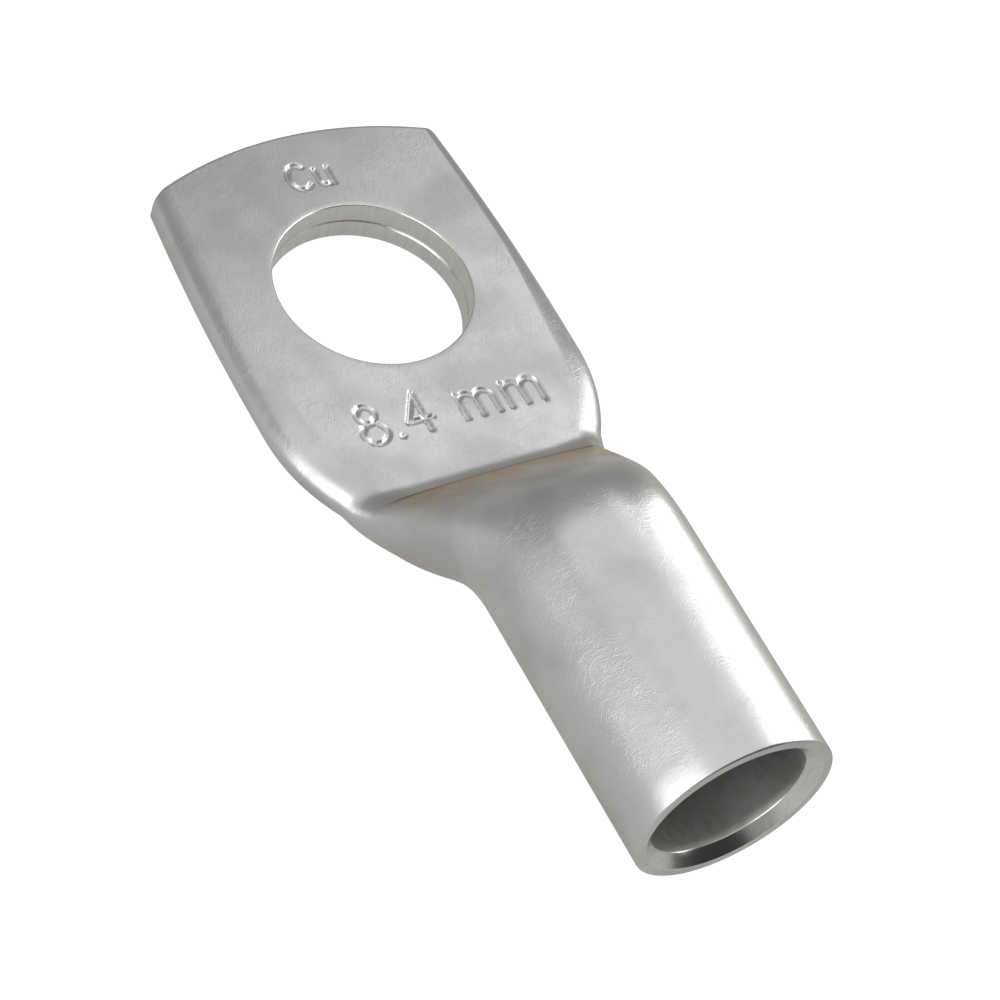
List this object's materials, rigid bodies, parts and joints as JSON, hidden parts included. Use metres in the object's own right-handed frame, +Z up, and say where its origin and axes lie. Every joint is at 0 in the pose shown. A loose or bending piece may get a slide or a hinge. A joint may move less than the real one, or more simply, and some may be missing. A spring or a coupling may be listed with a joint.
{
  "type": "cable lug",
  "caption": "Tubular cable lug: a round barrel for a stripped wire, pressed flat at one end into a palm with a stud hole. Tin-plated copper.",
  "frame": {"origin": "the stud hole's axis in the plane of the palm's underside", "axes": "+Z up through the stud hole, out of the palm's top; +X from the stud hole to the barrel's mouth; +Y across the palm"},
  "size_m": [0.0372, 0.0146, 0.0091],
  "materials": {
    "tinned_copper": "satin tin plate over copper, finely scratched"
  },
  "bodies": {
    "root": {"cable_lug": "tinned_copper"}
  },
  "joints": []
}
